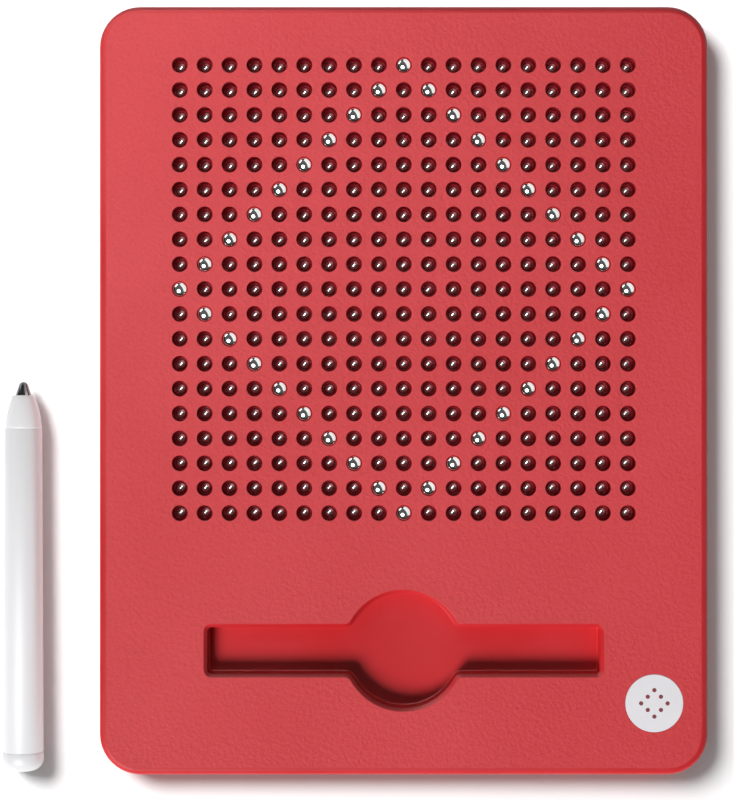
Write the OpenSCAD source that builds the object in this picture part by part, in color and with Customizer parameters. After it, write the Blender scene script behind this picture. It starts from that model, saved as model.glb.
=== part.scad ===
// Magnetic bead drawing board with a loose magnetic stylus.
// The board lies flat, with its underside on z = 0 and its long side along Y. The stylus lies to its left.
// Steel beads sit in a square field of wells. A lowered bead is pulled up by the stylus until the neck of
// its hole stops it, and a raised bead is pushed down with a fingertip. Sizes are millimetres.

/* [Board] */
// Width of the board, side to side
board_w = 240; // [236:1:250]
// Length of the board, top edge to bottom edge
board_l = 303; // [300:1:312]
// Thickness of the board
board_t = 15; // [15:0.1:16]
// Radius of the board's four corners
corner_r = 16; // [12:1:18]
// Rounding of the front edge
edge_r = 2.8; // [2:0.1:3]
// Thickness of the deck that the beads show through
deck_t = 1.25; // [1.2:0.05:1.4]
// Thickness of the skirt around the back cover
skirt_t = 2; // [1.8:0.1:2.2]
// Thickness of the back cover
cover_t = 1.8; // [1.6:0.1:1.9]

/* [Beads] */
// Beads along each side of the square field
bead_n = 19; // [15:2:19]
// Spacing of the beads
bead_pitch = 9.8; // [9.6:0.1:9.8]
// Diameter of a steel bead
bead_d = 7; // [6.8:0.05:7.1]
// How far a bead travels between lowered and raised
bead_travel = 6.6; // [6:0.1:6.7]
// Diameter of the neck that stops a raised bead
neck_d = 6.2; // [6:0.05:6.4]
// Thickness of the neck, at the top of a bead's hole
neck_t = 0.7; // [0.6:0.05:0.9]
// Distance from the board's centre up to the centre of the field
field_y = 40; // [38:0.5:41]

/* [Stylus tray] */
// Inside length of the tray
tray_l = 154.8; // [154.6:0.1:158]
// Inside width of the tray
tray_w = 18.2; // [17.4:0.1:19]
// Depth of the tray below the deck
tray_depth = 8.4; // [7.6:0.1:8.6]
// Diameter of the thumb well in the middle of the tray
well_d = 45.2; // [40:0.2:48]
// Width of the sloped lip around the tray
lip_w = 1.4; // [1:0.1:1.6]
// Distance from the board's centre down to the middle of the tray
tray_y = 102.4; // [101:0.2:104]

/* [Badge] */
// Diameter of the badge
badge_d = 22.8; // [20:0.2:24]
// Distance of the badge's centre from the board's right edge
badge_in = 21.4; // [20:0.2:24]
// Distance of the badge's centre from the board's bottom edge
badge_up = 28.4; // [26:0.2:30]

/* [Stylus] */
// Length of the stylus, tip to end
stylus_l = 154.2; // [150:0.1:154.4]
// Diameter at the end cap
stylus_d = 16.2; // [15.6:0.1:16.6]
// Diameter at the shoulder, where the nose starts
shoulder_d = 14.7; // [14.4:0.1:15.2]
// Diameter of the nose's small end
nose_d = 8.8; // [8.6:0.1:9.4]
// Length of the nose
nose_l = 13.3; // [12:0.1:15]
// Diameter of the steel tip where it leaves the nose
tip_d = 6.3; // [6:0.1:6.6]
// Length of the steel tip outside the nose
tip_l = 5.4; // [4.8:0.1:6]
// Length of the end cap outside the barrel
cap_l = 7.5; // [6.5:0.1:9]

/* [Hidden] */
$fn = 48;

// ---- clearances
fit_gap = 0.1;          // between pieces that slide into each other
bead_gap = 0.1;         // around a bead in its bore
stop_gap = 0.02;        // between a bead and its stops
touch = 0.01;           // how far a cutting shape runs past the surface that it opens

// ---- the stack of plates under the deck, from the neck down
neck_z = board_t - neck_t;
deck_z = board_t - deck_t;
raised_z = neck_z - sqrt(pow(bead_d / 2, 2) - pow(neck_d / 2, 2)) - stop_gap;
lowered_z = raised_z - bead_travel;
cup_floor_z = lowered_z - bead_d / 2 - stop_gap;
sheet_t = 0.8;
sheet_z = (raised_z + lowered_z - sheet_t) / 2;
bore_d = bead_d + 2 * bead_gap;
plate_margin = 7.3;     // from the outermost beads to the plates' edges
plate_corner_r = 3;

// ---- the bead field: column 0 is the left one, row 0 is the top one
last = bead_n - 1;
ring = last / 2;        // rings of the diamond, counted from the middle bead
raised_n = 4 * ring;
field_w = last * bead_pitch;
plate_w = field_w + 2 * plate_margin;

// ---- the case
ledge_w = 1.4;          // ledge inside the skirt that the back cover seats on
rib_t = 1.6;
rib_gap = 0.2;
corner_rib_l = 22;
tub_wall_t = 1.6;
tray_corner_r = 1.6;
well_fillet_r = 4;
fillet_bite = 0.1;      // how far a fillet's circle reaches into the thumb well's, which leaves a faint corner
tray_floor_z = board_t - tray_depth;

// ---- case screws
screw_x = 108;
screw_rows = [140, 46, -60, -140];
screw_head_d = 5.6;
screw_head_t = 1.5;
screw_d = 2.9;
screw_l = 8;
boss_d = 6.6;
seat_d = 9;
seat_z = 2.4;           // where a screw's head bears
seat_top_z = 4;
SCREWS = concat(
    [for (y = screw_rows, side = [-1, 1]) [side * screw_x, y]],
    [for (y = [screw_rows[0], screw_rows[3]]) [0, y]]
);

// ---- the badge
badge_t = 0.5;
badge_recess = 0.4;
badge_at = [board_w / 2 - badge_in, badge_up - board_l / 2];

// ---- the stylus, drawn with its end on z = 0 and its tip up, then laid down
barrel_l = stylus_l - cap_l - nose_l - tip_l;
shoulder_z = cap_l + barrel_l;
nose_z = shoulder_z + nose_l;
barrel_bore_d = 11.4;
cap_round_r = 4.6;
spigot_l = 6;
nose_bulge = 0.5;       // how far the nose's outline stands out of a straight cone
tip_seat = 4;           // length of the tip inside the nose
tip_round_r = 1.9;      // rounding of the tip's end
magnet_l = 12;
stylus_x = -151;
stylus_end_y = -150.6;
lie_angle = atan((stylus_d - shoulder_d) / 2 / barrel_l);

// ---- colours
red = [0.76, 0.13, 0.17];
deep_red = [0.62, 0.08, 0.11];
white = [0.94, 0.93, 0.91];
steel = [0.72, 0.73, 0.75];
dark_steel = [0.4, 0.4, 0.42];
rubber_grey = [0.3, 0.3, 0.31];

// ---------------------------------------------------------------- the field

function raised_name(i) = str("raised_bead_", i + 1);

// centre of the bead in a column and a row
function bead_at(c, r) = [(c - ring) * bead_pitch, field_y + (ring - r) * bead_pitch];

// steps from the middle bead, along columns plus along rows
function steps(c, r) = abs(c - ring) + abs(r - ring);

// the raised beads form a diamond, numbered clockwise from its top corner
function diamond(i) = let (side = floor(i / ring), k = i % ring)
    side == 0 ? [ring + k, k] :
    side == 1 ? [last - k, ring + k] :
    side == 2 ? [ring - k, last - k] :
                [k, ring - k];

module at_every_bead() {
    for (c = [0 : last], r = [0 : last]) translate(bead_at(c, r)) children();
}

// ---------------------------------------------------------------- outlines

module rounded_rect(w, l, r) {
    square([w - 2 * r, l], center = true);
    square([w, l - 2 * r], center = true);
    for (x = [-1, 1], y = [-1, 1]) translate([x * (w / 2 - r), y * (l / 2 - r)]) circle(r);
}

module board_outline(inset) {
    rounded_rect(board_w - 2 * inset, board_l - 2 * inset, corner_r - inset);
}

// the outline of the tray and its thumb well, grown outwards all round
module tray_outline(grow) {
    half_w = tray_w / 2 + grow;
    well_r = well_d / 2 + grow;
    fillet_r = well_fillet_r - grow;
    fillet_y = half_w + fillet_r;
    fillet_x = sqrt(pow(well_r + fillet_r - fillet_bite, 2) - pow(fillet_y, 2));
    rounded_rect(tray_l + 2 * grow, 2 * half_w, tray_corner_r + grow);
    circle(well_r);
    for (x = [0, 1], y = [0, 1]) mirror([x, 0]) mirror([0, y]) difference() {
        polygon([[0, 0], [fillet_x, 0], [fillet_x, fillet_y]]);
        translate([fillet_x, fillet_y]) circle(fillet_r);
    }
}

module plate_outline() {
    translate([0, field_y]) rounded_rect(plate_w, plate_w, plate_corner_r);
}

// ---------------------------------------------------------------- front shell

// quarter round of the front edge, with its flat sides on the axes
module edge_quarter() {
    intersection() {
        circle(edge_r);
        square(edge_r);
    }
}

module edge_corner() {
    rotate_extrude(angle = 90) {
        square([corner_r - edge_r, edge_r]);
        translate([corner_r - edge_r, 0]) edge_quarter();
    }
}

// the solid block of the board, rounded along its front edge
module board_block() {
    straight_w = board_w - 2 * corner_r;
    straight_l = board_l - 2 * corner_r;
    linear_extrude(board_t - edge_r) board_outline(0);
    translate([0, 0, board_t - edge_r]) {
        translate([-straight_w / 2, edge_r - board_l / 2, 0]) cube([straight_w, board_l - 2 * edge_r, edge_r]);
        translate([edge_r - board_w / 2, -straight_l / 2, 0]) cube([board_w - 2 * edge_r, straight_l, edge_r]);
        for (x = [0, 1], y = [0, 1]) mirror([x, 0, 0]) mirror([0, y, 0])
            translate([straight_w / 2, straight_l / 2, 0]) edge_corner();
        for (x = [0, 1]) mirror([x, 0, 0]) translate([board_w / 2 - edge_r, straight_l / 2, 0])
            rotate([90, 0, 0]) linear_extrude(straight_l) edge_quarter();
        for (y = [0, 1]) mirror([0, y, 0]) translate([-straight_w / 2, board_l / 2 - edge_r, 0])
            rotate([90, 0, 90]) linear_extrude(straight_w) edge_quarter();
    }
}

// L-shaped rib that holds one corner of the stack of plates in place
module corner_rib() {
    reach = plate_w / 2 + rib_gap;
    for (side = [0, 1]) mirror([side, -side, 0])
        translate([reach, reach + rib_t - corner_rib_l, cover_t]) cube([rib_t, corner_rib_l, deck_z - cover_t]);
}

module shell_inside() {
    difference() {
        translate([0, 0, -touch]) linear_extrude(deck_z + touch) board_outline(skirt_t + ledge_w);
        translate([0, -tray_y, tray_floor_z - tub_wall_t]) linear_extrude(deck_z) tray_outline(tub_wall_t);
        translate([0, field_y, 0]) for (x = [0, 1], y = [0, 1]) mirror([x, 0, 0]) mirror([0, y, 0]) corner_rib();
        for (at = SCREWS) translate([at.x, at.y, seat_top_z]) cylinder(d = boss_d, h = deck_z);
        // ribs from the tray's ends to the skirt
        translate([-board_w / 2, -tray_y - rib_t / 2, seat_top_z]) cube([board_w, rib_t, deck_z]);
    }
}

module front_shell() {
    color(red) difference() {
        board_block();
        shell_inside();
        // seat of the back cover
        translate([0, 0, -touch]) linear_extrude(cover_t + touch) board_outline(skirt_t);
        // the tray and its sloped lip
        translate([0, -tray_y, tray_floor_z]) linear_extrude(tray_depth + touch) tray_outline(0);
        translate([0, -tray_y, 0]) tray_lip();
        // the beads' holes, each with a thin neck that is narrower than its bead
        translate([0, 0, deck_z - touch]) at_every_bead() {
            cylinder(d = bore_d, h = neck_z - deck_z + touch);
            cylinder(d = neck_d, h = deck_t + 2 * touch);
        }
        // the badge's recess
        translate([badge_at.x, badge_at.y, board_t - badge_recess])
            cylinder(d = badge_d + 2 * fit_gap, h = badge_recess + touch);
        // the screws' holes
        for (at = SCREWS) translate([at.x, at.y, 0]) cylinder(d = screw_d + fit_gap, h = seat_z + screw_l + touch);
    }
}

// what the sloped lip takes away around the tray and around the thumb well. It starts inside the tray, so that
// its slope crosses the tray's walls
module tray_lip() {
    start = 0.3;
    hull() {
        translate([0, 0, board_t - lip_w - start]) linear_extrude(touch)
            rounded_rect(tray_l - 2 * start, tray_w - 2 * start, tray_corner_r - start, $fn = 32);
        translate([0, 0, board_t]) linear_extrude(touch)
            rounded_rect(tray_l + 2 * lip_w, tray_w + 2 * lip_w, tray_corner_r + lip_w, $fn = 32);
    }
    translate([0, 0, board_t - lip_w - start])
        cylinder(d1 = well_d - 2 * start, d2 = well_d + 2 * lip_w + 2 * touch, h = lip_w + start + touch);
}

// ---------------------------------------------------------------- back and inside

module back_cover() {
    color(deep_red) difference() {
        union() {
            linear_extrude(cover_t) board_outline(skirt_t + fit_gap);
            for (at = SCREWS) translate([at.x, at.y, 0]) cylinder(d = seat_d, h = seat_top_z);
        }
        for (at = SCREWS) translate([at.x, at.y, 0]) {
            translate([0, 0, -touch]) cylinder(d = screw_head_d + 6 * fit_gap, h = seat_z + touch);
            cylinder(d = screw_d + 4 * fit_gap, h = seat_top_z + touch);
        }
    }
}

// a plate of the stack, with a round hole for every bead
module holed_plate(z, top, hole_d) {
    translate([0, 0, z]) linear_extrude(top - z) difference() {
        plate_outline();
        at_every_bead() circle(d = hole_d);
    }
}

module bead_guide_plate() {
    color(deep_red) holed_plate(sheet_z + sheet_t, deck_z, bore_d);
}

module retainer_sheet() {
    color(rubber_grey) holed_plate(sheet_z, sheet_z + sheet_t, bore_d);
}

module bead_tray() {
    color(deep_red) {
        translate([0, 0, cover_t]) linear_extrude(cup_floor_z - cover_t) plate_outline();
        holed_plate(cup_floor_z, sheet_z, bore_d);
    }
}

module badge() {
    color(white) translate([badge_at.x, badge_at.y, board_t - badge_recess]) cylinder(d = badge_d, h = badge_t);
}

module case_screws() {
    color(steel) for (at = SCREWS) translate([at.x, at.y, seat_z]) {
        cylinder(d = screw_d, h = screw_l);
        translate([0, 0, -screw_head_t]) difference() {
            cylinder(d = screw_head_d, h = screw_head_t);
            // cross slot for the screwdriver
            for (turn = [0, 90]) rotate(turn) translate([-1.6, -0.35, -touch]) cube([3.2, 0.7, 0.8]);
        }
    }
}

// ---------------------------------------------------------------- beads

module bead(c, r, z) {
    at = bead_at(c, r);
    color(steel) translate([at.x, at.y, z]) sphere(d = bead_d);
}

module raised_bead(i) {
    bead(diamond(i).x, diamond(i).y, raised_z);
}

// the lowered beads inside the diamond
module lowered_beads_middle() {
    for (c = [0 : last], r = [0 : last]) if (steps(c, r) < ring) bead(c, r, lowered_z);
}

// the lowered beads outside the diamond, in the corner that side and up point to
module lowered_beads_corner(side, up) {
    for (c = [0 : last], r = [0 : last])
        if (steps(c, r) > ring && side * (c - ring) > 0 && up * (ring - r) > 0) bead(c, r, lowered_z);
}

// ---------------------------------------------------------------- stylus

module laid_down() {
    translate([stylus_x, stylus_end_y, stylus_d / 2]) rotate([-90 - lie_angle, 0, 0]) children();
}

module stylus_barrel() {
    color(white) laid_down() translate([0, 0, cap_l]) difference() {
        cylinder(d1 = stylus_d, d2 = shoulder_d, h = barrel_l);
        translate([0, 0, -touch]) cylinder(d = barrel_bore_d, h = barrel_l + 2 * touch);
    }
}

// the nose's outline is an arc that stands out of the straight cone by nose_bulge
module nose_outline() {
    low = [shoulder_d / 2, 0];
    high = [nose_d / 2, nose_l];
    chord = norm(high - low);
    arc_r = (pow(chord / 2, 2) + pow(nose_bulge, 2)) / (2 * nose_bulge);
    inward = [low.y - high.y, high.x - low.x] / chord;
    centre = (low + high) / 2 + inward * (arc_r - nose_bulge);
    intersection() {
        translate(centre) circle(arc_r, $fn = 480);
        square([shoulder_d / 2, nose_l]);
    }
}

module stylus_nose() {
    color(white) laid_down() translate([0, 0, shoulder_z]) difference() {
        union() {
            rotate_extrude() nose_outline();
            translate([0, 0, -spigot_l]) cylinder(d = barrel_bore_d - 2 * fit_gap, h = spigot_l);
        }
        translate([0, 0, -spigot_l - touch])
            cylinder(d = tip_d + 2 * fit_gap, h = spigot_l + nose_l + 2 * touch);
    }
}

module stylus_end_cap() {
    color(white) laid_down() {
        rotate_extrude() {
            square([stylus_d / 2 - cap_round_r, cap_l]);
            translate([0, cap_round_r]) square([stylus_d / 2, cap_l - cap_round_r]);
            intersection() {
                translate([stylus_d / 2 - cap_round_r, cap_round_r]) circle(cap_round_r);
                square([stylus_d / 2, cap_l]);
            }
        }
        translate([0, 0, cap_l]) cylinder(d = barrel_bore_d - 2 * fit_gap, h = spigot_l);
    }
}

// a cone that runs smoothly into its rounded end
module stylus_tip_outline() {
    round_z = tip_l - tip_round_r;
    meets_at = acos(tip_round_r / norm([tip_d / 2, round_z])) - atan(round_z / (tip_d / 2));
    meets = [tip_round_r * cos(meets_at), round_z + tip_round_r * sin(meets_at)];
    polygon([[0, -tip_seat], [tip_d / 2, -tip_seat], [tip_d / 2, 0], meets, [0, meets.y]]);
    intersection() {
        translate([0, round_z]) circle(tip_round_r);
        translate([0, meets.y]) square(tip_round_r);
    }
}

module stylus_tip() {
    color(dark_steel) laid_down() translate([0, 0, nose_z]) rotate_extrude() stylus_tip_outline();
}

module stylus_magnet() {
    color(steel) laid_down() translate([0, 0, nose_z - tip_seat - magnet_l]) cylinder(d = tip_d, h = magnet_l);
}

front_shell();
back_cover();
bead_guide_plate();
retainer_sheet();
bead_tray();
badge();
case_screws();
stylus_barrel();
stylus_nose();
stylus_end_cap();
stylus_tip();
stylus_magnet();
lowered_beads_middle();
lowered_beads_corner(-1, 1);  // lowered_beads_top_left
lowered_beads_corner(1, 1);  // lowered_beads_top_right
lowered_beads_corner(-1, -1);  // lowered_beads_bottom_left
lowered_beads_corner(1, -1);  // lowered_beads_bottom_right
for (i = [0 : raised_n - 1]) raised_bead(i);
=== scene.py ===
import math

import bmesh
import bpy
from mathutils import Matrix, Vector


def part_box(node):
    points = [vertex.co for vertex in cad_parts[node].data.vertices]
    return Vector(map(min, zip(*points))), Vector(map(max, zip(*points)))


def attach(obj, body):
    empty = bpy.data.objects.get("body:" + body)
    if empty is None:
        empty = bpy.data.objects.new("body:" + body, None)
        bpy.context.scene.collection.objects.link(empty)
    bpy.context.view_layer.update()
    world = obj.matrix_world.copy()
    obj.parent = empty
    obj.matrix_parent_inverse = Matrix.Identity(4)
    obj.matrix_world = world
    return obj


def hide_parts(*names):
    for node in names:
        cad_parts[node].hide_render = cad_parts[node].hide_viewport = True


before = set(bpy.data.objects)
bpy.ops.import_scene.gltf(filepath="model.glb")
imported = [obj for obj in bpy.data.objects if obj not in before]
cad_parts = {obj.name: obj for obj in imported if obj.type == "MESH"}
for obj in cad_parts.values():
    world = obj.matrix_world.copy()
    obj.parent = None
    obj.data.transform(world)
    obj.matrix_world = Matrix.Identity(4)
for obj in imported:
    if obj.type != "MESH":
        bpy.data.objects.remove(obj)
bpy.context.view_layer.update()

# A magnetic bead drawing board. Sizes are metres, in the board's own frame: x to the right, y up the board,
# z up out of the deck, with the table at z = 0.

MM = 0.001


def middle(node):
    low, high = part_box(node)
    return (Vector(low) + Vector(high)) / 2


# ---------------------------------------------------------------- sizes

board_low, board_high = (Vector(v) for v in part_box("front_shell"))
BOARD_W = board_high.x - board_low.x
BOARD_L = board_high.y - board_low.y
DECK_Z = board_high.z
CORNER_R = 16 * MM
EDGE_R = 2.8 * MM           # rounding of the front edge
DECK_T = 1.25 * MM
SKIRT_T = 2 * MM
LEDGE_W = 1.4 * MM          # ledge inside the skirt that the back cover seats on
COVER_T = 1.8 * MM
FIT_GAP = 0.1 * MM
FOOT_R = 0.4 * MM           # rounding of the edges that face the table
FOOT_MIDDLE = 0.12 * MM     # how far the middle of that rounding is from both of the faces it joins

RAISED_COUNT = sum(name.startswith("raised_bead_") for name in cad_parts)
RING = RAISED_COUNT // 4    # rings of the diamond, counted from the middle bead
LAST = 2 * RING             # number of the last column and of the last row
top_bead, left_bead = middle("raised_bead_1"), middle(f"raised_bead_{3 * RING + 1}")
PITCH = (top_bead.x - left_bead.x) / RING
FIELD_X = top_bead.x
FIELD_Y = left_bead.y
LOWERED_Z = middle("lowered_beads_middle").z
bead_low, bead_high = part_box("raised_bead_1")
BEAD_R = (bead_high[2] - bead_low[2]) / 2
NECK_R = 3.1 * MM
NECK_T = 0.7 * MM
BORE_R = BEAD_R + FIT_GAP
WELL_SIDES = 16             # sides of a bead's hole, which is repeated for every bead

TRAY_Y = -102.4 * MM
TRAY_L = 154.8 * MM
TRAY_W = 18.2 * MM
TRAY_DEPTH = 8.4 * MM
TRAY_CORNER_R = 1.6 * MM
WELL_R = 22.6 * MM          # the thumb well
WELL_FILLET_R = 4 * MM
LIP_W = 1.4 * MM
TUB_WALL = 1.6 * MM

badge_middle = middle("badge")
badge_low, badge_high = (Vector(v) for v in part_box("badge"))
BADGE_R = (badge_high.x - badge_low.x) / 2
BADGE_FLOOR = badge_low.z

SCREW_ROWS = (140 * MM, 46 * MM, -60 * MM, -140 * MM)
SCREW_X = 108 * MM
SCREWS = [(side * SCREW_X, y) for y in SCREW_ROWS for side in (-1, 1)]
SCREWS += [(0, SCREW_ROWS[0]), (0, SCREW_ROWS[3])]
BOSS_R = 3.3 * MM           # the tube that hangs from the deck for a screw
PILOT_R = 1.5 * MM          # the hole in it that the screw bites in
PILOT_TOP_Z = 10.4 * MM
HEAD_HOLE_R = 3.1 * MM
SHANK_HOLE_R = 1.65 * MM
SCREW_SEAT_Z = 2.4 * MM     # where a screw's head bears
PAD_R = 4.5 * MM            # the raised pad around a screw's hole, inside the back cover
PAD_TOP_Z = 4 * MM


# ---------------------------------------------------------------- shader maths

class Value:
    """A shader socket that Python's operators work on. Each operator adds a Math node."""

    def __init__(self, shader, socket):
        self.shader = shader
        self.socket = socket

    def maths(self, operation, first, second):
        return self.shader.add("ShaderNodeMath", {"operation": operation}, {0: first, 1: second})

    def __add__(self, other):
        return self.maths("ADD", self, other)

    def __sub__(self, other):
        return self.maths("SUBTRACT", self, other)

    def __mul__(self, other):
        return self.maths("MULTIPLY", self, other)


class Shader:
    """A material under construction, with its Principled shader."""

    def __init__(self, name, **constants):
        self.material = bpy.data.materials.new(name)
        self.material.use_nodes = True
        self.tree = self.material.node_tree
        self.surface = self.tree.nodes["Principled BSDF"]
        for socket, constant in constants.items():
            self.surface.inputs[socket.replace("_", " ")].default_value = constant

    def plug(self, node, socket, given):
        if isinstance(given, Value):
            self.tree.links.new(given.socket, node.inputs[socket])
        else:
            node.inputs[socket].default_value = given

    def add(self, kind, settings=None, inputs=None, out=0):
        """Adds a node of any type: first its settings, then the values or links of its sockets."""
        node = self.tree.nodes.new(kind)
        for name, setting in (settings or {}).items():
            setattr(node, name, setting)
        for socket, given in (inputs or {}).items():
            self.plug(node, socket, given)
        return Value(self, node.outputs[out])

    def place(self):
        return self.add("ShaderNodeTexCoord", out="Object")

    def noise(self, scale, detail=2.0, roughness=0.5):
        inputs = {"Vector": self.place(), "Scale": scale, "Detail": detail, "Roughness": roughness}
        return self.add("ShaderNodeTexNoise", {}, inputs, "Fac")

    def scratches(self, scale, turn):
        """Thin straight marks: the narrow crests of a noise that is stretched along one direction."""
        inputs = {0: self.place(), "Rotation": (0, 0, math.radians(turn))}
        inputs["Scale"] = (scale, scale * 0.04, scale)
        stretched = self.add("ShaderNodeMapping", {}, inputs)
        crest = self.add("ShaderNodeTexNoise", {}, {"Vector": stretched, "Scale": 1.0, "Detail": 1.0}, "Fac")
        return self.between(crest, 0.70, 0.74)

    def cells(self, scale):
        inputs = {"Vector": self.place(), "Scale": scale}
        return self.add("ShaderNodeTexVoronoi", {"feature": "SMOOTH_F1"}, inputs, "Distance")

    def between(self, value, low, high, to_low=0.0, to_high=1.0):
        inputs = {"Value": value, "From Min": low, "From Max": high, "To Min": to_low, "To Max": to_high}
        return self.add("ShaderNodeMapRange", {"clamp": True}, inputs, "Result")

    def colours(self, amount, first, second):
        inputs = {0: amount, 6: (*first, 1), 7: (*second, 1)}
        return self.add("ShaderNodeMix", {"data_type": "RGBA"}, inputs, 2)

    def feed(self, socket, given):
        self.plug(self.surface, socket, given)

    def bump(self, height, strength, distance):
        inputs = {"Height": height, "Strength": strength, "Distance": distance}
        self.feed("Normal", self.add("ShaderNodeBump", {}, inputs, "Normal"))


# ---------------------------------------------------------------- materials

# The grained deck is coloured between RED and the paler, pinker red below it. The polished faces of the same
# plastic are coloured between DEEP_RED and RED. The deck's paler, pinker colour is painted sheen.
RED = (0.60, 0.024, 0.031)
SHEEN_PALE_RED = (0.68, 0.044, 0.054)
DEEP_RED = (0.55, 0.014, 0.018)


def grained_red():
    """The deck's moulded texture: fine leathery grain under a matt sheen, slightly polished by hands. Its
    colour runs paler and pinker than the polished parts of the same plastic, and that difference is painted
    sheen.
    """
    s = Shader("grained_red", IOR=1.45)
    grain = s.noise(950, 3, 0.62)
    pits = s.cells(620)
    cloud = s.noise(14, 3, 0.5)
    rubbed = s.between(s.noise(38, 4, 0.6), 0.56, 0.74)
    # painted sheen: the base colour runs paler and pinker here than on the polished faces of the same plastic
    s.feed("Base Color", s.colours(s.between(cloud * 0.45 + grain * 0.55, 0.34, 0.66), RED, SHEEN_PALE_RED))
    s.feed("Roughness", s.between(grain, 0.3, 0.7, 0.56, 0.70) - rubbed * 0.06)
    s.bump(grain * 0.7 + pits * 0.5, 0.8, 0.0003)
    return s.material


def smooth_red():
    """The polished parts of the moulding: its rounded edge, the lips and the tray, with faint scratches."""
    s = Shader("smooth_red", IOR=1.45, Specular_IOR_Level=0.3)
    cloud = s.noise(20, 3, 0.5)
    scratch = s.scratches(1500, 24) + s.scratches(1100, -58)
    s.feed("Base Color", s.colours(s.between(cloud, 0.35, 0.65) + scratch * 0.5, DEEP_RED, RED))
    s.feed("Roughness", s.between(cloud, 0.3, 0.7, 0.40, 0.48) + scratch * 0.15)
    s.bump(s.noise(420, 2, 0.5) - scratch * 0.6, 0.12, 0.00004)
    return s.material


def cover_red():
    """The back cover: the same plastic with a coarser spark-eroded grain and scratches from tables."""
    s = Shader("cover_red", IOR=1.5)
    grain = s.noise(700, 3, 0.6)
    worn = s.between(s.noise(26, 4, 0.62), 0.55, 0.72)
    s.feed("Base Color", s.colours(worn, DEEP_RED, RED))
    s.feed("Roughness", s.between(grain, 0.3, 0.7, 0.50, 0.62) - worn * 0.08)
    s.bump(grain, 0.5, 0.00012)
    return s.material


def inner_red():
    s = Shader("inner_red", IOR=1.5)
    cloud = s.noise(60, 2, 0.5)
    s.feed("Base Color", s.colours(cloud, (0.46, 0.016, 0.030), (0.58, 0.022, 0.038)))
    s.feed("Roughness", s.between(cloud, 0.3, 0.7, 0.24, 0.34))
    return s.material


def retainer_rubber():
    s = Shader("retainer_rubber")
    cloud = s.noise(300, 3, 0.6)
    s.feed("Base Color", s.colours(cloud, (0.010, 0.010, 0.011), (0.022, 0.022, 0.024)))
    s.feed("Roughness", s.between(cloud, 0.3, 0.7, 0.68, 0.82))
    s.bump(cloud, 0.3, 0.00005)
    return s.material


def polished(name, colour, worn_colour, smooth, worn):
    """Polished metal with faint polishing marks and a light haze."""
    s = Shader(name, Metallic=1.0)
    marks = s.noise(900, 4, 0.65)
    haze = s.between(s.noise(240, 3, 0.5), 0.45, 0.75)
    s.feed("Base Color", s.colours(haze, colour, worn_colour))
    s.feed("Roughness", s.between(marks, 0.35, 0.75, smooth, worn))
    return s.material


def stylus_white():
    s = Shader("stylus_white", IOR=1.5)
    cloud = s.noise(24, 3, 0.5)
    scuff = s.between(s.noise(210, 5, 0.7), 0.60, 0.74)
    s.feed("Base Color", s.colours(cloud, (0.87, 0.87, 0.89), (0.91, 0.91, 0.92)))
    s.feed("Roughness", s.between(cloud, 0.3, 0.7, 0.34, 0.42) + scuff * 0.08)
    s.bump(s.noise(500, 2, 0.5), 0.08, 0.00003)
    return s.material


def badge_white():
    s = Shader("badge_white", IOR=1.48)
    cloud = s.noise(90, 3, 0.5)
    s.feed("Base Color", s.colours(cloud, (0.87, 0.84, 0.88), (0.91, 0.89, 0.92)))
    s.feed("Roughness", s.between(cloud, 0.3, 0.7, 0.36, 0.46))
    s.bump(s.noise(800, 2, 0.5), 0.06, 0.00003)
    return s.material


def badge_ink():
    s = Shader("badge_ink", IOR=1.48)
    cloud = s.noise(700, 3, 0.6)
    s.feed("Base Color", s.colours(cloud, (0.20, 0.018, 0.030), (0.26, 0.026, 0.040)))
    s.feed("Roughness", s.between(cloud, 0.3, 0.7, 0.40, 0.52))
    return s.material


def pale_floor():
    s = Shader("pale_floor", Roughness=0.85)
    cloud = s.noise(6, 2, 0.5)
    s.feed("Base Color", s.colours(cloud, (0.90, 0.90, 0.90), (0.92, 0.92, 0.92)))
    return s.material


GRAINED = grained_red()
SMOOTH = smooth_red()
COVER = cover_red()
INNER = inner_red()
RUBBER = retainer_rubber()
BEAD = polished("bead_steel", (0.80, 0.80, 0.79), (0.72, 0.72, 0.71), 0.03, 0.09)
TIP = polished("tip_steel", (0.20, 0.20, 0.21), (0.15, 0.15, 0.16), 0.12, 0.24)
SCREW = polished("screw_steel", (0.56, 0.56, 0.58), (0.46, 0.46, 0.47), 0.24, 0.42)
MAGNET = polished("magnet_nickel", (0.66, 0.63, 0.58), (0.58, 0.55, 0.50), 0.14, 0.26)
WHITE = stylus_white()
BADGE = badge_white()
INK = badge_ink()


# ---------------------------------------------------------------- mesh work

def finish_piece(name, bm, body, replaced, materials):
    """Turns a bmesh into a piece that rides on a body and stands for its CAD nodes."""
    bmesh.ops.remove_doubles(bm, verts=bm.verts, dist=1e-6)
    bmesh.ops.recalc_face_normals(bm, faces=bm.faces)
    mesh = bpy.data.meshes.new(name)
    bm.to_mesh(mesh)
    bm.free()
    for material in materials:
        mesh.materials.append(material)
    piece = bpy.data.objects.new(name, mesh)
    bpy.context.scene.collection.objects.link(piece)
    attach(piece, body)
    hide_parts(*replaced)
    return piece


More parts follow.
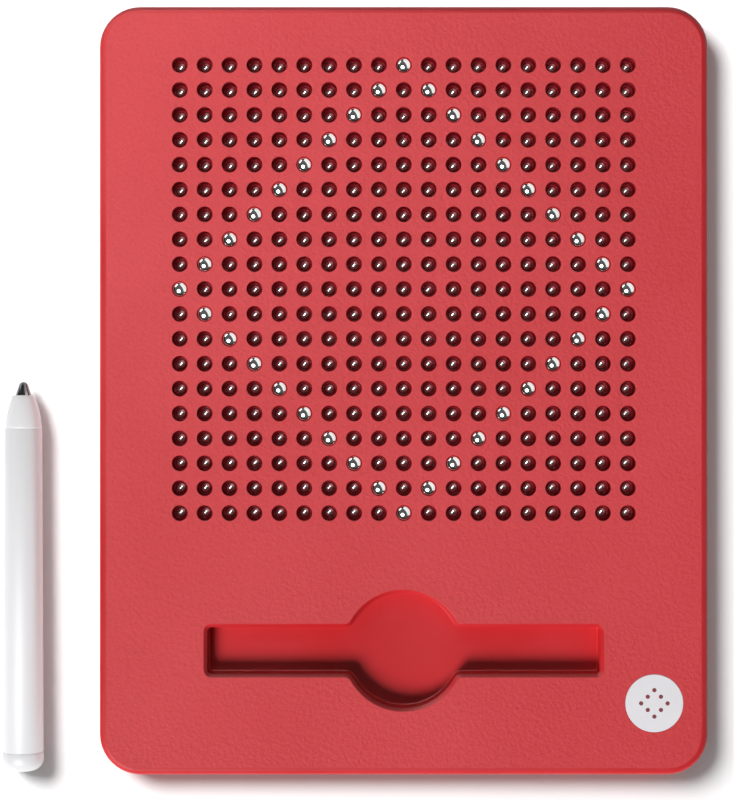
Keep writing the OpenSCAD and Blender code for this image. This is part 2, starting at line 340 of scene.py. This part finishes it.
class Loop:
    """A closed outline at one height, drawn from straight runs and arcs."""

    def __init__(self, bm, x, y, z):
        self.bm = bm
        self.z = z
        self.first = bm.verts.new((x, y, z))
        self.end = self.first
        self.edges = []

    def run(self, x, y):
        vertex = self.bm.verts.new((x, y, self.z))
        self.edges.append(self.bm.edges.new((self.end, vertex)))
        self.end = vertex
        return self

    def arc(self, x, y, degrees, steps):
        """Carries the end round the point (x, y)."""
        before = set(self.bm.edges)
        spun = bmesh.ops.spin(self.bm, geom=[self.end], cent=(x, y, self.z), axis=(0, 0, 1),
                              angle=math.radians(degrees), steps=steps, use_duplicate=False)
        self.end = next(g for g in spun["geom_last"] if isinstance(g, bmesh.types.BMVert))
        self.edges += [e for e in self.bm.edges if e not in before]
        return self

    def close(self):
        if (self.end.co - self.first.co).length < 1e-6:
            bmesh.ops.weld_verts(self.bm, targetmap={self.end: self.first})
            self.edges = [e for e in self.edges if e.is_valid]
            self.edges += [e for e in self.first.link_edges if e not in self.edges]
        else:
            self.edges.append(self.bm.edges.new((self.end, self.first)))
        return self.edges


def rounded_loop(bm, w, l, r, z, steps=8, x=0, y=0):
    half_w, half_l = w / 2, l / 2
    loop = Loop(bm, x + half_w, y - half_l + r, z)
    loop.run(x + half_w, y + half_l - r).arc(x + half_w - r, y + half_l - r, 90, steps)
    loop.run(x - half_w + r, y + half_l).arc(x - half_w + r, y + half_l - r, 90, steps)
    loop.run(x - half_w, y - half_l + r).arc(x - half_w + r, y - half_l + r, 90, steps)
    loop.run(x + half_w - r, y - half_l).arc(x + half_w - r, y - half_l + r, 90, steps)
    return loop.close()


def board_loop(bm, inset, z):
    return rounded_loop(bm, BOARD_W - 2 * inset, BOARD_L - 2 * inset, CORNER_R - inset, z, 10)


def circle_loop(bm, x, y, z, r, sides):
    made = bmesh.ops.create_circle(bm, cap_ends=False, radius=r, segments=sides,
                                   matrix=Matrix.Translation((x, y, z)))
    return list({e for v in made["verts"] for e in v.link_edges})


def tray_loop(bm, grow, z):
    """The outline of the tray and its thumb well, grown outwards all round."""
    half_l, half_w = TRAY_L / 2 + grow, TRAY_W / 2 + grow
    corner_r, well_r, fillet_r = TRAY_CORNER_R + grow, WELL_R + grow, WELL_FILLET_R - grow
    fillet_y = half_w + fillet_r
    fillet_x = math.sqrt((well_r + fillet_r) ** 2 - fillet_y ** 2)
    lean = math.degrees(math.atan2(fillet_y, fillet_x))
    loop = Loop(bm, half_l, TRAY_Y - half_w + corner_r, z)
    for side in (1, -1):
        y = TRAY_Y + side * half_w
        loop.run(side * half_l, y - side * corner_r)
        loop.arc(side * (half_l - corner_r), y - side * corner_r, 90, 4)
        loop.run(side * fillet_x, y)
        loop.arc(side * fillet_x, TRAY_Y + side * fillet_y, lean - 90, 5)
        loop.arc(0, TRAY_Y, 180 - 2 * lean, 24)
        loop.arc(-side * fillet_x, TRAY_Y + side * fillet_y, lean - 90, 5)
        loop.run(-side * (half_l - corner_r), y)
        loop.arc(-side * (half_l - corner_r), y - side * corner_r, 90, 4)
    return loop.close()


def bridge(bm, loops, material, smooth=True):
    """Joins each loop to the next one."""
    for first, second in zip(loops, loops[1:]):
        for face in bmesh.ops.bridge_loops(bm, edges=first + second)["faces"]:
            face.material_index = material
            face.smooth = smooth


def fill(bm, loops, material):
    """Fills a flat outline, leaving the outlines inside it open."""
    edges = [e for loop in loops for e in loop]
    made = bmesh.ops.triangle_fill(bm, use_beauty=True, edges=edges, normal=(0, 0, 1))["geom"]
    for face in (g for g in made if isinstance(g, bmesh.types.BMFace)):
        face.material_index = material
        face.smooth = False


def place_ring(verts, r, z):
    """Puts a ring's vertices on a circle, or on the border of a bead's square if there is no radius."""
    for v in verts:
        way = v.co.xy.normalized()
        way *= r if r else PITCH / 2 / max(abs(way.x), abs(way.y))
        v.co = (way.x, way.y, z)


def sleeve(bm, x, y, profile, materials, smooth, sides=32):
    """A round wall that runs through a profile of (radius, height), with a material and a shading for each of
    its bands. It gives the edges of its first and its last ring."""
    verts = bmesh.ops.create_circle(bm, cap_ends=False, radius=1, segments=sides)["verts"]
    place_ring(verts, *profile[0])
    made = list(verts)
    first = ring = list({e for v in verts for e in v.link_edges})
    for (r, z), material, shaded in zip(profile[1:], materials, smooth):
        geom = bmesh.ops.extrude_edge_only(bm, edges=ring)["geom"]
        verts = {g for g in geom if isinstance(g, bmesh.types.BMVert)}
        place_ring(verts, r, z)
        made += verts
        ring = [e for e in {e for v in verts for e in v.link_edges} if set(e.verts) <= verts]
        for face in {f for e in ring for f in e.link_faces}:
            face.material_index = material
            face.smooth = shaded
    bmesh.ops.translate(bm, verts=made, vec=(x, y, 0))
    return first, ring


def quarter(count):
    """Sine and cosine along a quarter turn."""
    turns = [math.pi / 2 * i / count for i in range(count + 1)]
    return [(math.sin(t), math.cos(t)) for t in turns]


def stamp(bm, places):
    """Copies what the bmesh holds to each place, and takes the first one away."""
    first = bm.verts[:]
    source = first + bm.edges[:] + bm.faces[:]
    for place in places:
        copy = bmesh.ops.duplicate(bm, geom=source)["geom"]
        verts = [g for g in copy if isinstance(g, bmesh.types.BMVert)]
        bmesh.ops.translate(bm, verts=verts, vec=place)
    bmesh.ops.delete(bm, geom=first, context="VERTS")


def bead_place(column, row):
    """Column 0 is the left one and row 0 is the top one."""
    return FIELD_X + (column - RING) * PITCH, FIELD_Y + (RING - row) * PITCH


# ---------------------------------------------------------------- front shell

DECK_FACE, SMOOTH_FACE, INSIDE_FACE = 0, 1, 2


def bead_cell(bm):
    """One bead's square of the deck: its flat top, the neck with its blunted edge, and the bore below."""
    under, neck_z, blunt = DECK_Z - DECK_T, DECK_Z - NECK_T, 0.12 * MM
    profile = [(None, DECK_Z), (NECK_R + blunt, DECK_Z), (NECK_R, DECK_Z - blunt), (NECK_R, neck_z)]
    profile += [(BORE_R, neck_z), (BORE_R, under), (None, under)]
    materials = [DECK_FACE, SMOOTH_FACE, SMOOTH_FACE] + [INSIDE_FACE] * 3
    sleeve(bm, 0, 0, profile, materials, [m == SMOOTH_FACE for m in materials], WELL_SIDES)


def bead_field(bm):
    """Adds every bead's square of the deck, and gives the border of their top and of their underside."""
    field = bmesh.new()
    bead_cell(field)
    stamp(field, [(*bead_place(column, row), 0) for column in range(LAST + 1) for row in range(LAST + 1)])
    bmesh.ops.remove_doubles(field, verts=field.verts, dist=1e-6)
    mesh = bpy.data.meshes.new("field")
    field.to_mesh(mesh)
    field.free()
    before = len(bm.edges)
    bm.from_mesh(mesh)
    bpy.data.meshes.remove(mesh)
    bm.edges.ensure_lookup_table()
    border = [e for e in bm.edges[before:] if e.is_boundary]
    halfway = DECK_Z - DECK_T / 2
    return [e for e in border if e.verts[0].co.z > halfway], [e for e in border if e.verts[0].co.z < halfway]


def front_shell():
    bm = bmesh.new()
    under = DECK_Z - DECK_T
    # the rounded front edge, the skirt, the seat of the back cover and the wall above it
    edge = [board_loop(bm, EDGE_R * (1 - s), DECK_Z - EDGE_R * (1 - c)) for s, c in quarter(8)]
    foot = [board_loop(bm, 0, FOOT_R), board_loop(bm, FOOT_MIDDLE, FOOT_MIDDLE), board_loop(bm, FOOT_R, 0)]
    inside = [board_loop(bm, SKIRT_T, 0), board_loop(bm, SKIRT_T, COVER_T),
              board_loop(bm, SKIRT_T + LEDGE_W, COVER_T), board_loop(bm, SKIRT_T + LEDGE_W, under)]
    bridge(bm, edge + foot, SMOOTH_FACE)
    fill(bm, [foot[-1], inside[0]], INSIDE_FACE)
    bridge(bm, inside, INSIDE_FACE, smooth=False)

    # the tray's sloped lip with its blunted edges, its walls and its floor, and the tub underneath
    floor_z, blunt = DECK_Z - TRAY_DEPTH, 0.15 * MM
    slope = [(LIP_W + blunt, 0), (LIP_W, blunt / 4), (LIP_W - blunt, blunt)]
    slope += [(blunt, LIP_W - blunt), (blunt / 4, LIP_W), (0, LIP_W + blunt)]
    lip = [tray_loop(bm, out, DECK_Z - down) for out, down in slope]
    wall = [tray_loop(bm, 0, floor_z + 0.5 * MM), tray_loop(bm, -0.15 * MM, floor_z + 0.15 * MM)]
    wall.append(tray_loop(bm, -0.5 * MM, floor_z))
    bridge(bm, lip + wall, SMOOTH_FACE)
    fill(bm, [wall[-1]], SMOOTH_FACE)
    tub = [tray_loop(bm, TUB_WALL, z) for z in (under, floor_z - TUB_WALL)]
    bridge(bm, tub, INSIDE_FACE, smooth=False)
    fill(bm, [tub[-1]], INSIDE_FACE)

    # the badge's recess
    recess_top, recess_floor = sleeve(bm, badge_middle.x, badge_middle.y, [
        (BADGE_R + FIT_GAP, DECK_Z), (BADGE_R + FIT_GAP, BADGE_FLOOR)], [SMOOTH_FACE], [False], 64)
    fill(bm, [recess_floor], SMOOTH_FACE)

    # screw bosses, each a tube that hangs from the deck
    bosses = []
    for x, y in SCREWS:
        boss, hole_end = sleeve(bm, x, y, [
            (BOSS_R, under), (BOSS_R, PAD_TOP_Z), (PILOT_R, PAD_TOP_Z), (PILOT_R, PILOT_TOP_Z)],
            [INSIDE_FACE] * 3, [False] * 3)
        fill(bm, [hole_end], INSIDE_FACE)
        bosses.append(boss)

    field_top, field_under = bead_field(bm)
    fill(bm, [edge[0], field_top, lip[0], recess_top], DECK_FACE)
    fill(bm, [inside[-1], field_under, tub[0]] + bosses, INSIDE_FACE)
    return finish_piece("front_shell_moulding", bm, "board", ["front_shell"],
                        [GRAINED, SMOOTH, INNER])


# ---------------------------------------------------------------- back cover and screws

def back_cover():
    bm = bmesh.new()
    inset = SKIRT_T + FIT_GAP
    rim = [board_loop(bm, inset + FOOT_R, 0), board_loop(bm, inset + FOOT_MIDDLE, FOOT_MIDDLE)]
    rim += [board_loop(bm, inset, FOOT_R), board_loop(bm, inset, COVER_T)]
    bridge(bm, rim, 0)
    below, above = [rim[0]], [rim[-1]]
    for x, y in SCREWS:
        mouth, pad = sleeve(bm, x, y, [
            (HEAD_HOLE_R + 0.2 * MM, 0), (HEAD_HOLE_R, 0.2 * MM), (HEAD_HOLE_R, SCREW_SEAT_Z),
            (SHANK_HOLE_R, SCREW_SEAT_Z), (SHANK_HOLE_R, PAD_TOP_Z), (PAD_R, PAD_TOP_Z), (PAD_R, COVER_T)],
            [0] * 6, [False] * 6)
        below.append(mouth)
        above.append(pad)
    fill(bm, below, 0)
    fill(bm, above, 0)
    return finish_piece("back_cover_moulding", bm, "board", ["back_cover"], [COVER])


# ---------------------------------------------------------------- beads

def balls(name, places, across, along, body, node):
    """Polished balls at their places, all in one piece."""
    bm = bmesh.new()
    bmesh.ops.create_uvsphere(bm, u_segments=across, v_segments=along, radius=BEAD_R)
    for face in bm.faces:
        face.smooth = True
    stamp(bm, places)
    return finish_piece(name, bm, body, [node], [BEAD])


def raised_beads():
    for i in range(1, RAISED_COUNT + 1):
        node = f"raised_bead_{i}"
        balls(f"raised_ball_{i}", [middle(node)], 32, 20, f"bead_{i}", node)


def lowered_beads(area, belongs):
    """The balls of one area. belongs says if a place is in it, from its steps right and up of the middle."""
    places = [(*bead_place(column, row), LOWERED_Z) for column in range(LAST + 1) for row in range(LAST + 1)
              if belongs(column - RING, RING - row)]
    return balls(f"lowered_balls_{area}", places, 12, 7, f"{area}_beads", f"lowered_beads_{area}")


def all_beads():
    """Every ball of the board. It gives the pieces of the lowered ones."""
    raised_beads()
    lowered = [lowered_beads("middle", lambda right, up: abs(right) + abs(up) < RING)]
    for up_name, way in (("top", 1), ("bottom", -1)):
        for side_name, side in (("left", -1), ("right", 1)):
            lowered.append(lowered_beads(
                f"{up_name}_{side_name}",
                lambda right, up: right * side > 0 and up * way > 0 and abs(right) + abs(up) > RING))
    return lowered


# ---------------------------------------------------------------- badge

def badge():
    """A plain disc printed with a small diamond of dots."""
    bm = bmesh.new()
    x, y, top = badge_middle.x, badge_middle.y, badge_high.z
    bottom, face_edge = sleeve(bm, x, y, [
        (BADGE_R, BADGE_FLOOR), (BADGE_R, top - 0.12 * MM), (BADGE_R - 0.04 * MM, top - 0.04 * MM),
        (BADGE_R - 0.14 * MM, top)], [0] * 3, [False, True, True], 64)
    step = 2.6 * MM
    places = [(right, up) for right in range(-2, 3) for up in range(-2, 3) if abs(right) + abs(up) == 2]
    dots = [circle_loop(bm, x + right * step, y + up * step, top, 0.85 * MM, 20) for right, up in places]
    fill(bm, [face_edge] + dots, 0)
    for dot in dots:
        fill(bm, [dot], 1)
    fill(bm, [bottom], 0)
    return finish_piece("badge_disc", bm, "board", ["badge"], [BADGE, INK])


# ---------------------------------------------------------------- stylus

end_low, end_high = (Vector(v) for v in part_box("stylus_end_cap"))
STYLUS_X = (end_low.x + end_high.x) / 2
STYLUS_END_Y = end_low.y
STYLUS_R = (end_high.x - end_low.x) / 2
SHOULDER_R = 7.35 * MM
NOSE_R = 4.4 * MM
TIP_R = 3.15 * MM
TIP_ROUND_R = 1.9 * MM
CAP_L = 7.5 * MM
CAP_ROUND_R = 4.6 * MM
BARREL_L = 128 * MM
NOSE_L = 13.3 * MM
TIP_L = 5.4 * MM
TIP_SEAT = 4 * MM           # length of the tip inside the nose
BARREL_BORE_R = 5.7 * MM
SPIGOT_L = 6 * MM
SPIGOT_R = BARREL_BORE_R - FIT_GAP
SEAM = 0.12 * MM            # depth of the groove between two of its pieces
LIE_ANGLE = math.atan((STYLUS_R - SHOULDER_R) / BARREL_L)


def lathe(name, profile, node, material):
    """Turns a profile of (radius, distance from the stylus's end) and lays the piece down on the table."""
    bm = bmesh.new()
    verts = [bm.verts.new((r, s, 0)) for r, s in profile]
    edges = [bm.edges.new(pair) for pair in zip(verts, verts[1:])]
    bmesh.ops.spin(bm, geom=verts + edges, cent=(0, 0, 0), axis=(0, 1, 0), angle=2 * math.pi,
                   steps=64, use_merge=True)
    for face in bm.faces:
        face.smooth = True
    bmesh.ops.rotate(bm, verts=bm.verts, cent=(0, 0, 0), matrix=Matrix.Rotation(-LIE_ANGLE, 3, "X"))
    bmesh.ops.translate(bm, verts=bm.verts, vec=(STYLUS_X, STYLUS_END_Y, STYLUS_R))
    return finish_piece(name, bm, "stylus", [node], [material])


def stylus():
    """The stylus, end cap first. It gives its pieces."""
    shoulder = CAP_L + BARREL_L
    nose = shoulder + NOSE_L

    rounding = [(STYLUS_R - CAP_ROUND_R * (1 - s), CAP_ROUND_R * (1 - c)) for s, c in quarter(10)]
    cap = [(0, 0)] + rounding + [(STYLUS_R, CAP_L - 2 * SEAM), (STYLUS_R - SEAM, CAP_L - SEAM / 2)]
    cap += [(STYLUS_R - 3 * SEAM, CAP_L), (SPIGOT_R, CAP_L)]
    cap += [(SPIGOT_R, CAP_L + SPIGOT_L), (0, CAP_L + SPIGOT_L)]
    pieces = [lathe("stylus_cap_turned", cap, "stylus_end_cap", WHITE)]

    bore_start = (BARREL_BORE_R, CAP_L)
    barrel = [bore_start, (STYLUS_R - 3 * SEAM, CAP_L), (STYLUS_R - SEAM, CAP_L + SEAM / 2)]
    barrel += [(STYLUS_R, CAP_L + 2 * SEAM), (SHOULDER_R, shoulder - 2 * SEAM)]
    barrel += [(SHOULDER_R - SEAM, shoulder - SEAM / 2), (SHOULDER_R - 3 * SEAM, shoulder)]
    barrel += [(BARREL_BORE_R, shoulder), bore_start]
    pieces.append(lathe("stylus_barrel_turned", barrel, "stylus_barrel", WHITE))

    # the nose bulges a little out of a straight cone
    steps, bulge = 12, 0.45 * MM
    cone = []
    for i in range(steps + 1):
        t = i / steps
        r = SHOULDER_R + (NOSE_R - SHOULDER_R) * t + 4 * bulge * t * (1 - t)
        cone.append((r, shoulder + NOSE_L * t))
    back = (TIP_R + FIT_GAP, shoulder - SPIGOT_L)
    spigot = [back, (SPIGOT_R, shoulder - SPIGOT_L), (SPIGOT_R, shoulder)]
    face = [(SHOULDER_R - 3 * SEAM, shoulder), (SHOULDER_R - SEAM, shoulder + SEAM / 2)]
    mouth = [(NOSE_R - 0.25 * MM, nose), (TIP_R + FIT_GAP, nose), back]
    cone[0] = (SHOULDER_R, shoulder + 2 * SEAM)
    cone[-1] = (NOSE_R, nose - 0.25 * MM)
    nose_outline = spigot + face + cone + mouth
    pieces.append(lathe("stylus_nose_turned", nose_outline, "stylus_nose", WHITE))

    # the tip is a cone that runs smoothly into its rounded end
    round_at = TIP_L - TIP_ROUND_R
    meets = math.acos(TIP_ROUND_R / math.hypot(TIP_R, round_at)) - math.atan(round_at / TIP_R)
    bullet = [(0, nose - TIP_SEAT), (TIP_R, nose - TIP_SEAT), (TIP_R, nose)]
    for i in range(11):
        turn = meets + (math.pi / 2 - meets) * i / 10
        bullet.append((TIP_ROUND_R * math.cos(turn), nose + round_at + TIP_ROUND_R * math.sin(turn)))
    bullet[-1] = (0, nose + TIP_L)
    pieces.append(lathe("stylus_tip_turned", bullet, "stylus_tip", TIP))
    return pieces


# ---------------------------------------------------------------- nodes that keep their own shape

def dress(node, material):
    """Gives a node that keeps its own shape a better material."""
    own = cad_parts[node]
    own.data.materials.clear()
    own.data.materials.append(material)


# ---------------------------------------------------------------- stage

def camera():
    """Looks straight down on the board, from a little left of its middle."""
    view_height = 314.9 * MM
    distance = 0.8
    data = bpy.data.cameras.new("camera")
    data.sensor_width = 36
    data.lens = data.sensor_width * distance / view_height
    data.clip_start = 0.01
    made = bpy.data.objects.new("camera", data)
    bpy.context.scene.collection.objects.link(made)
    made.location = (-14.5 * MM, -3.7 * MM, DECK_Z + distance)
    bpy.context.scene.camera = made


def floor():
    bm = bmesh.new()
    bmesh.ops.create_grid(bm, x_segments=1, y_segments=1, size=3)
    mesh = bpy.data.meshes.new("floor")
    bm.to_mesh(mesh)
    bm.free()
    mesh.materials.append(pale_floor())
    made = bpy.data.objects.new("floor", mesh)
    bpy.context.scene.collection.objects.link(made)
    return made


def softbox(name, direction, distance, width, height, power, shape="RECTANGLE"):
    """A large soft light that faces the board from a direction."""
    data = bpy.data.lights.new(name, "AREA")
    data.shape = shape
    data.size = width
    data.size_y = height
    data.energy = power
    made = bpy.data.objects.new(name, data)
    bpy.context.scene.collection.objects.link(made)
    away = Vector(direction).normalized()
    made.location = away * distance
    made.rotation_mode = "QUATERNION"
    made.rotation_quaternion = away.to_track_quat("Z", "Y")
    return made


def only_light(lamp, things, leave_out=False):
    """Limits a lamp to some things, or to everything except them."""
    lit = bpy.data.collections.new(f"lit_by_{lamp.name}")
    for thing in things:
        lit.objects.link(thing)
    for member in lit.collection_objects:
        member.light_linking.link_state = "EXCLUDE" if leave_out else "INCLUDE"
    lamp.light_linking.receiver_collection = lit


def lights(ground, moulding, stylus_pieces, lowered):
    """A big soft key from the lower left, which stands lower for the moulding. A white card at the right, a
    small one at the upper left and the ceiling show in the steel. Two sparks show in the lowered balls, a
    sheen lies on the deck's upper left, and the bores, the stylus and the floor have lights of their own."""
    world = bpy.data.worlds.new("studio")
    world.use_nodes = True
    world.node_tree.nodes["Background"].inputs["Color"].default_value = (1, 1, 1, 1)
    world.node_tree.nodes["Background"].inputs["Strength"].default_value = 0.02
    bpy.context.scene.world = world
    key = softbox("key", (-0.29, -0.41, 0.865), 3.0, 2.3, 2.3, 92, "ELLIPSE")
    only_light(key, [ground, moulding] + lowered, leave_out=True)
    low_key = softbox("low_key", (-0.42, -0.62, 0.72), 6.0, 3.0, 3.0, 430, "ELLIPSE")
    only_light(low_key, [moulding])
    card = softbox("card", (0.75, 0.47, 0.47), 1.3, 4.0, 1.38, 17)
    patch = softbox("patch", (-0.65, 0.60, 0.30), 1.3, 0.8, 0.4, 2.2)
    ceiling = softbox("ceiling", (0, 0, 1), 2.5, 12.0, 12.0, 42)
    for lamp in (card, patch, ceiling):
        only_light(lamp, [ground], leave_out=True)
    spark = softbox("spark", (0.05, 0.22, 1), 2.0, 0.6, 0.6, 4.5, "ELLIPSE")
    low_spark = softbox("low_spark", (-0.26, -0.14, 1), 2.0, 0.5, 0.5, 4.0, "ELLIPSE")
    for lamp in (spark, low_spark):
        only_light(lamp, lowered)
    sheen = softbox("sheen", (-0.42, 0.62, 0.66), 0.5, 0.4, 0.4, 4.5)
    only_light(sheen, [moulding])
    for lamp in (card, patch, ceiling, spark, low_spark, sheen):
        lamp.visible_diffuse = False
    bore_light = softbox("bore_light", (0, 0, 1), 2.0, 2.4, 2.4, 40)
    only_light(bore_light, [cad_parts["bead_guide_plate"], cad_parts["bead_tray"]])
    stylus_fill = softbox("stylus_fill", (0.75, 0.1, 0.55), 1.2, 0.8, 0.8, 3)
    only_light(stylus_fill, stylus_pieces)
    floor_lamp = softbox("floor_lamp", (-0.55, 0.45, 0.80), 2.0, 1.1, 1.1, 66, "ELLIPSE")
    floor_fill = softbox("floor_fill", (0, 0, 1), 2.0, 3.0, 3.0, 15)
    for lamp in (floor_lamp, floor_fill):
        only_light(lamp, [ground])
    bpy.context.scene.view_settings.view_transform = "Standard"


moulding = front_shell()
back_cover()
lowered_balls = all_beads()
badge()
stylus_pieces = stylus()
dress("bead_guide_plate", INNER)
dress("bead_tray", INNER)
dress("retainer_sheet", RUBBER)
dress("case_screws", SCREW)
dress("stylus_magnet", MAGNET)
camera()
lights(floor(), moulding, stylus_pieces, lowered_balls)
